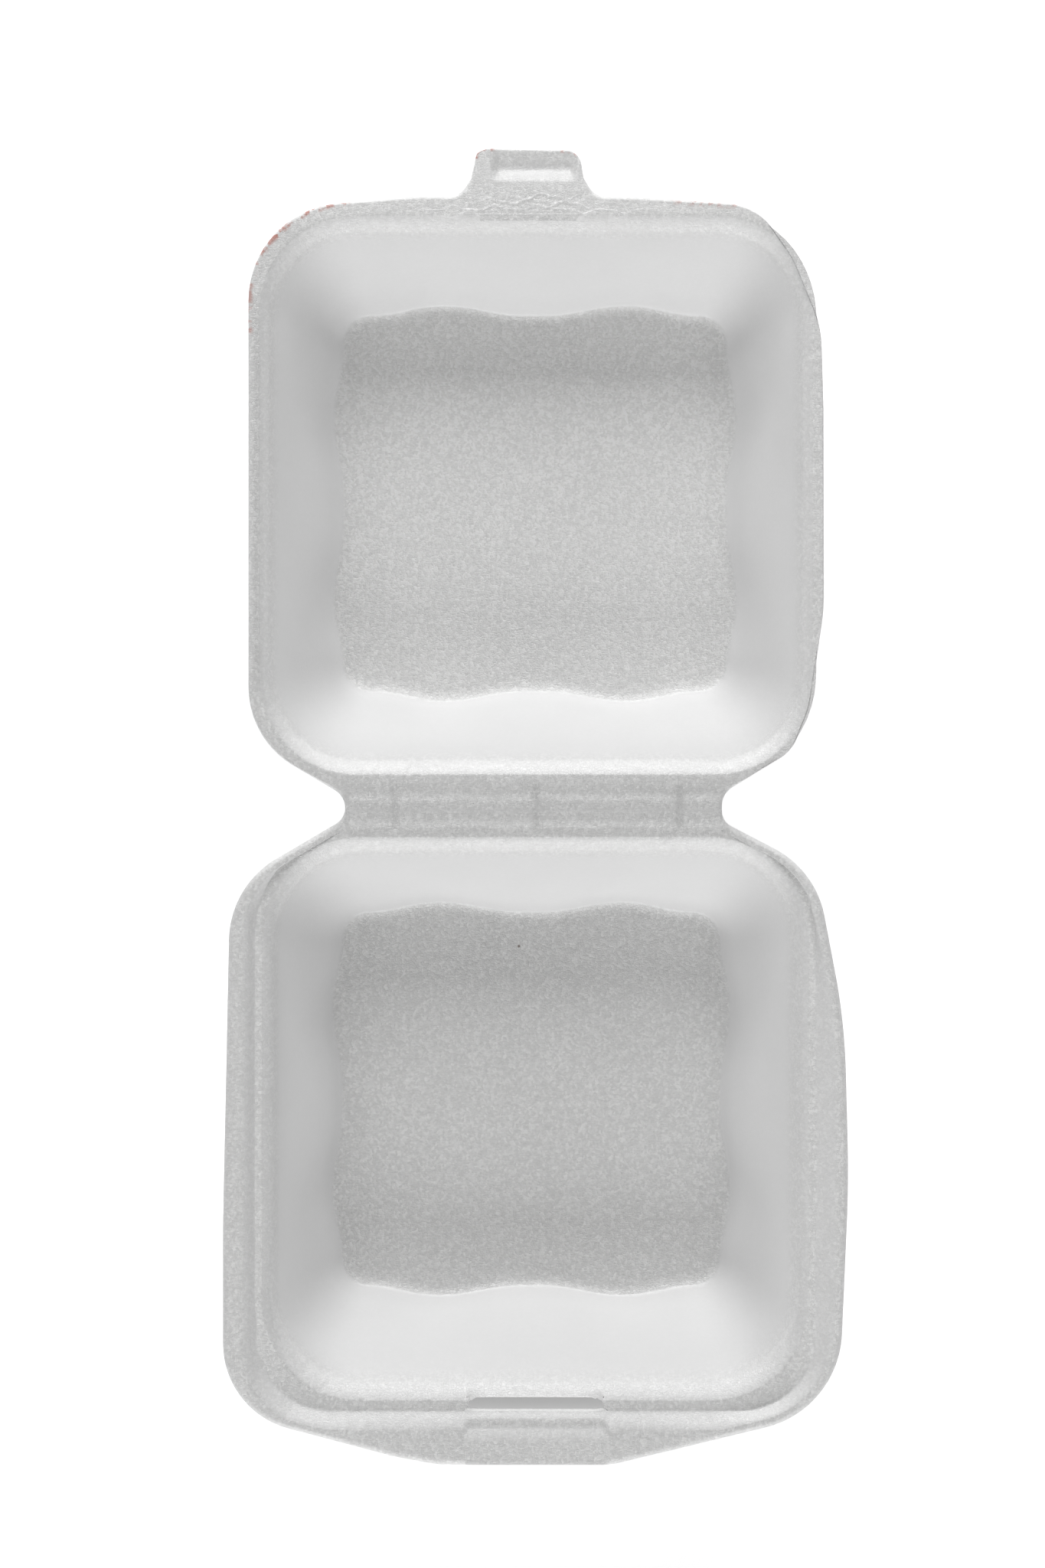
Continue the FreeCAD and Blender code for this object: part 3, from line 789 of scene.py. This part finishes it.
def maths(tree, operation, *values):
    """Output of a math node whose inputs are numbers or sockets."""
    return node(tree, "ShaderNodeMath", dict(enumerate(values)), operation=operation).outputs[0]


def vectors(tree, operation, *values):
    """Vector math node whose inputs are vectors or sockets."""
    return node(tree, "ShaderNodeVectorMath", dict(enumerate(values)), operation=operation)


def mix(tree, share, first, second):
    """Colour mix whose inputs are colours, numbers or sockets."""
    made = node(tree, "ShaderNodeMix", data_type="RGBA")
    for name, value in (("Factor_Float", share), ("A_Color", first), ("B_Color", second)):
        socket = next(s for s in made.inputs if s.identifier == name)
        if isinstance(value, bpy.types.NodeSocket):
            tree.links.new(value, socket)
        elif isinstance(value, (int, float)):
            socket.default_value = value
        else:
            socket.default_value = (*value, 1.0)
    return next(s for s in made.outputs if s.identifier == "Result_Color")


def cell_group():
    """Foam cells: flat flakes of random tone with thin walls, as height, tone and shine."""
    group = bpy.data.node_groups.new("Foam cells", "ShaderNodeTree")
    for name in ("Scale", "Amount"):
        group.interface.new_socket(name=name, in_out="INPUT", socket_type="NodeSocketFloat")
    for name in ("Height", "Tone", "Shine"):
        group.interface.new_socket(name=name, in_out="OUTPUT", socket_type="NodeSocketFloat")
    given = node(group, "NodeGroupInput")
    amount = given.outputs["Amount"]
    where = node(group, "ShaderNodeTexCoord").outputs["Object"]
    warp = node(group, "ShaderNodeTexNoise", {"Vector": where, "Scale": 420, "Detail": 2})
    shift = vectors(group, "MULTIPLY_ADD", warp.outputs["Color"], (0.0012,) * 3, where)
    placed = {"Vector": shift.outputs[0], "Scale": given.outputs["Scale"]}
    flakes = node(group, "ShaderNodeTexVoronoi", placed, feature="F1")
    walls = node(group, "ShaderNodeTexVoronoi", placed, feature="DISTANCE_TO_EDGE")
    longer = vectors(group, "MULTIPLY", shift.outputs[0], (0.4, 1.0, 1.0)).outputs[0]
    grain = node(group, "ShaderNodeTexNoise", {"Vector": longer, "Scale": 2600, "Detail": 3})
    fine = grain.outputs["Fac"]
    random = node(group, "ShaderNodeSeparateColor", {0: flakes.outputs["Color"]})
    wall = maths(group, "MULTIPLY", walls.outputs["Distance"], 6.0)
    wall = maths(group, "MINIMUM", wall, 1.0)
    level = maths(group, "MULTIPLY_ADD", random.outputs[0], 1.6, wall)
    level = maths(group, "MULTIPLY_ADD", fine, 2.0, level)
    spread = maths(group, "POWER", random.outputs[1], 2.0)
    spread = maths(group, "SUBTRACT", spread, 1.23)
    spread = maths(group, "MULTIPLY_ADD", fine, 1.8, spread)
    glint = maths(group, "GREATER_THAN", random.outputs[2], 0.86)
    outputs = {
        "Height": maths(group, "MULTIPLY", level, amount),
        "Tone": maths(group, "MULTIPLY", spread, amount),
        "Shine": maths(group, "MULTIPLY", glint, amount),
    }
    node(group, "NodeGroupOutput", outputs)
    return group


def spot_group():
    """A soft, ragged spot: 1 near a centre in object space, 0 past its size."""
    group = bpy.data.node_groups.new("Ragged spot", "ShaderNodeTree")
    for name, kind in (
            ("Centre", "NodeSocketVector"), ("Size", "NodeSocketFloat"), ("Streaks", "NodeSocketFloat")):
        group.interface.new_socket(name=name, in_out="INPUT", socket_type=kind)
    group.interface.new_socket(name="Spot", in_out="OUTPUT", socket_type="NodeSocketFloat")
    given = node(group, "NodeGroupInput")
    where = node(group, "ShaderNodeTexCoord").outputs["Object"]
    ragged = node(group, "ShaderNodeTexNoise", {"Vector": where, "Scale": 700})
    away = vectors(group, "DISTANCE", where, given.outputs["Centre"])
    share = maths(group, "DIVIDE", away.outputs["Value"], given.outputs["Size"])
    wobble = maths(group, "MULTIPLY_ADD", ragged.outputs["Fac"], 0.9, share)
    faded = {"Value": wobble, "From Min": 1.5, "From Max": 1.15}
    spot = node(group, "ShaderNodeMapRange", faded, clamp=True)
    torn = node(group, "ShaderNodeTexNoise", {"Vector": where, "Scale": 520, "Detail": 4})
    gaps = {"Value": torn.outputs["Fac"], "From Min": 0.56, "From Max": 0.46}
    bare = node(group, "ShaderNodeMapRange", gaps, clamp=True)
    lost = maths(group, "MULTIPLY", bare.outputs["Result"], given.outputs["Streaks"])
    left = maths(group, "SUBTRACT", 1.0, lost)
    whole = maths(group, "MULTIPLY", spot.outputs["Result"], left)
    node(group, "NodeGroupOutput", {"Spot": whole})
    return group


STAINS = [
    (-50.0, 143.6, 33.4, 6.5, 0.9), (-58.0, 140.0, 33.4, 7.0, 1.0), (-64.5, 133.5, 33.4, 6.5, 0.9),
    (-69.0, 119.0, 33.0, 6.5, 0.7), (-12.5, 156.6, 33.2, 3.0, 1.0), (8.2, 157.4, 33.2, 2.6, 0.8),
    (41.0, 144.6, 33.2, 8.0, 0.6),
]
SPECKS = [(46.8, -131.1, 24.0, 0.75), (-4.1, -36.2, 2.2, 0.45), (-57.9, -24.0, 17.0, 0.4)]


def spotted(tree, colour, edge, finish):
    """The colour with the stains, which keep to the cut edge, and the specks on it."""
    spots = spot_group()
    for x, y, z, size, strength in STAINS:
        given = {"Centre": in_frame(x, y, z), "Size": size / MM, "Streaks": 1.0}
        spot = node(tree, "ShaderNodeGroup", given, node_tree=spots)
        share = maths(tree, "MULTIPLY", spot.outputs[0], edge)
        share = maths(tree, "MULTIPLY", share, 0.85 * strength)
        colour = mix(tree, share, colour, finish.stain)
    for x, y, z, size in SPECKS:
        given = {"Centre": in_frame(x, y, z), "Size": size / MM}
        spot = node(tree, "ShaderNodeGroup", given, node_tree=spots)
        share = maths(tree, "MULTIPLY", spot.outputs[0], 0.8)
        colour = mix(tree, share, colour, finish.speck)
    return colour


def foam_material(finish):
    """White foam: satin and even where stretched, glittering cells where flat, stained at its edge."""
    material = bpy.data.materials.new("White foam")
    material.use_nodes = True
    tree = material.node_tree
    tree.nodes.clear()
    where = node(tree, "ShaderNodeTexCoord").outputs["Object"]
    amount, edge, painted_light_tone = (
        node(tree, "ShaderNodeAttribute", attribute_name=name).outputs["Fac"]
        for name in ("cells", "edge", "tone"))
    lifted = maths(tree, "MULTIPLY_ADD", amount, 0.93, 0.07)
    scaled = {"Scale": 1 / finish.cell, "Amount": lifted}
    cells = node(tree, "ShaderNodeGroup", scaled, node_tree=cell_group())
    cloud = node(tree, "ShaderNodeTexNoise", {"Vector": where, "Scale": 60, "Detail": 4})
    base = mix(tree, amount, finish.stretched, finish.colour)
    tone = maths(tree, "MULTIPLY_ADD", cells.outputs["Tone"], 0.2, 1.0)
    drift = maths(tree, "MULTIPLY_ADD", cloud.outputs["Fac"], 0.05, -0.025)
    tone = maths(tree, "ADD", tone, drift)
    # The tone attribute multiplies painted shade and painted highlights into the colour.
    tone = maths(tree, "MULTIPLY", tone, painted_light_tone)
    toned = node(tree, "ShaderNodeVectorMath", {0: base, "Scale": tone}, operation="SCALE")
    dull = maths(tree, "MULTIPLY_ADD", amount, finish.roughness - finish.satin, finish.satin)
    dull = maths(tree, "MULTIPLY_ADD", cells.outputs["Shine"], -0.06, dull)
    relief = {"Strength": 0.45, "Distance": 0.00012, "Height": cells.outputs["Height"]}
    bump = node(tree, "ShaderNodeBump", relief)
    shader = node(tree, "ShaderNodeBsdfPrincipled", {
        "IOR": 1.55, "Specular IOR Level": 1.0, "Subsurface Weight": 0.0, "Roughness": dull,
        "Base Color": spotted(tree, toned.outputs[0], edge, finish), "Normal": bump.outputs[0],
    })
    node(tree, "ShaderNodeOutputMaterial", {0: shader.outputs[0]})
    return material


def dress(piece):
    """Gives a piece the foam material, made once."""
    material = bpy.data.materials.get("White foam")
    if material is None:
        material = foam_material(bpy.context.scene.foam_finish)
    piece.data.materials.append(material)


def in_frame(x, y, z):
    """A place in metres, given in millimetres."""
    return (x / MM, y / MM, z / MM)


class FOAMBOX_OT_base(bpy.types.Operator):
    """Base tray with ledge, raised rim, slit and the nearer half of the hinge strip"""
    bl_idname = "foambox.base"
    bl_label = "Base"

    def execute(self, context):
        points, faces, amounts = build_base(context.scene.foam_sizes)
        piece = add_mesh("foam_base", points, faces, amounts)
        dress(piece)
        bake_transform(piece)
        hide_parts("base", "hinge_strip")
        return {"FINISHED"}


class FOAMBOX_OT_lid(bpy.types.Operator):
    """Lid tray with its flange and the further half of the hinge strip"""
    bl_idname = "foambox.lid"
    bl_label = "Lid"

    def execute(self, context):
        points, faces, amounts = build_lid(context.scene.foam_sizes)[:3]
        piece = add_mesh("foam_lid", points, faces, amounts)
        dress(piece)
        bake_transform(piece)
        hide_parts("lid")
        return {"FINISHED"}


class FOAMBOX_OT_tab(bpy.types.Operator):
    """Tab with its pressed bar, from the slot in the lid's front flange outwards"""
    bl_idname = "foambox.tab"
    bl_label = "Tab"

    def execute(self, context):
        sizes = context.scene.foam_sizes
        points, faces, amounts = build_tab(sizes, build_lid(sizes)[3])
        piece = add_mesh("foam_tab", points, faces, amounts)
        dress(piece)
        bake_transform(piece)
        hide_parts("latch_tab")
        return {"FINISHED"}


def floor_material(colour, glow):
    """Matt material with light of its own, shaded towards the foot of the base as by the base itself.

    The shade follows the distance from a rectangle under the base, and ends below the rim's outline.
    """
    centre, half, reach = (0.0, -0.105, 0.0), (0.030, 0.045, 0.0), 0.018
    material = bpy.data.materials.new("Pale floor")
    material.use_nodes = True
    tree = material.node_tree
    shader = tree.nodes["Principled BSDF"]
    where = node(tree, "ShaderNodeTexCoord").outputs["Object"]
    apart = vectors(tree, "SUBTRACT", where, centre).outputs[0]
    sides = vectors(tree, "ABSOLUTE", apart).outputs[0]
    past = vectors(tree, "SUBTRACT", sides, half).outputs[0]
    outside = vectors(tree, "MAXIMUM", past, (0.0, 0.0, 0.0)).outputs[0]
    length = vectors(tree, "LENGTH", outside).outputs["Value"]
    faded = {"Value": length, "From Max": reach, "To Min": 0.33}
    light = node(tree, "ShaderNodeMapRange", faded, clamp=True, interpolation_type="SMOOTHSTEP")
    shaded = mix(tree, light.outputs["Result"], (0.0, 0.0, 0.0), tuple(colour))
    fill(shader, {
        "Roughness": 0.9, "Emission Strength": glow, "Emission Color": light.outputs["Result"],
        "Base Color": shaded,
    })
    return material


def soft_light(name, place, target, size, power):
    """Area light at place, turned so that its -Z axis points at the target."""
    data = bpy.data.lights.new(name, "AREA")
    data.shape = "RECTANGLE"
    data.size, data.size_y = size
    data.energy = power
    lamp = bpy.data.objects.new(name, data)
    lamp.location = place
    aim = (target[0] - place[0], target[1] - place[1], target[2] - place[2])
    tilt = math.atan2(aim[1], -aim[2])
    lamp.rotation_euler = (tilt, 0.0, 0.0)
    bpy.context.scene.collection.objects.link(lamp)


class FOAMBOX_OT_stage(bpy.types.Operator):
    """Pale floor, two soft lights, even light from all round and the camera above the box"""
    bl_idname = "foambox.stage"
    bl_label = "Stage"

    def execute(self, context):
        scene = context.scene
        look = scene.foam_stage
        half = 6.0
        corners = [(-half, -half, 0), (half, -half, 0), (half, half, 0), (-half, half, 0)]
        mesh = bpy.data.meshes.new("floor")
        mesh.from_pydata(corners, [], [(0, 1, 2, 3)])
        floor = bpy.data.objects.new("floor", mesh)
        floor.data.materials.append(floor_material(look.floor, look.glow))
        scene.collection.objects.link(floor)
        soft_light("light_tab_side", (-0.12, 1.5, 0.84), (0.0, 0.0, 0.03), (1.8, 0.8), look.lid_light)
        soft_light("light_lip_side", (-0.12, -1.5, 0.72), (0.0, 0.0, 0.03), (1.8, 0.8), look.lip_light)
        world = bpy.data.worlds.new("Even light")
        world.use_nodes = True
        world.node_tree.nodes["Background"].inputs["Color"].default_value = (1, 1, 1, 1)
        world.node_tree.nodes["Background"].inputs["Strength"].default_value = look.sky
        scene.world = world
        scene.view_settings.view_transform = "Standard"
        data = bpy.data.cameras.new("camera")
        data.sensor_width, data.lens = 36.0, 54.0
        data.clip_start = 0.01
        camera = bpy.data.objects.new("camera", data)
        camera.location = (-0.0032, 0.00495, CREST_Z / MM + look.distance)
        scene.collection.objects.link(camera)
        scene.camera = camera
        return {"FINISHED"}


class FOAMBOX_PT_panel(bpy.types.Panel):
    """Buttons that build the box and its stage"""
    bl_idname = "FOAMBOX_PT_panel"
    bl_label = "Foam box"
    bl_space_type = "VIEW_3D"
    bl_region_type = "UI"
    bl_category = "Foam box"

    def draw(self, context):
        for operator in OPERATORS:
            self.layout.operator(operator.bl_idname)


GROUPS = (("foam_sizes", BoxSizes), ("foam_finish", FoamFinish), ("foam_stage", StageLook))
OPERATORS = (FOAMBOX_OT_base, FOAMBOX_OT_lid, FOAMBOX_OT_tab, FOAMBOX_OT_stage)


def register():
    for name, group in GROUPS:
        bpy.utils.register_class(group)
        setattr(bpy.types.Scene, name, PointerProperty(type=group))
    for operator in OPERATORS:
        bpy.utils.register_class(operator)
    bpy.utils.register_class(FOAMBOX_PT_panel)


def unregister():
    bpy.utils.unregister_class(FOAMBOX_PT_panel)
    for operator in reversed(OPERATORS):
        bpy.utils.unregister_class(operator)
    for name, group in reversed(GROUPS):
        delattr(bpy.types.Scene, name)
        bpy.utils.unregister_class(group)


def main():
    register()
    bpy.ops.foambox.base()
    bpy.ops.foambox.lid()
    bpy.ops.foambox.tab()
    bpy.ops.foambox.stage()


if __name__ == "__main__":
    main()
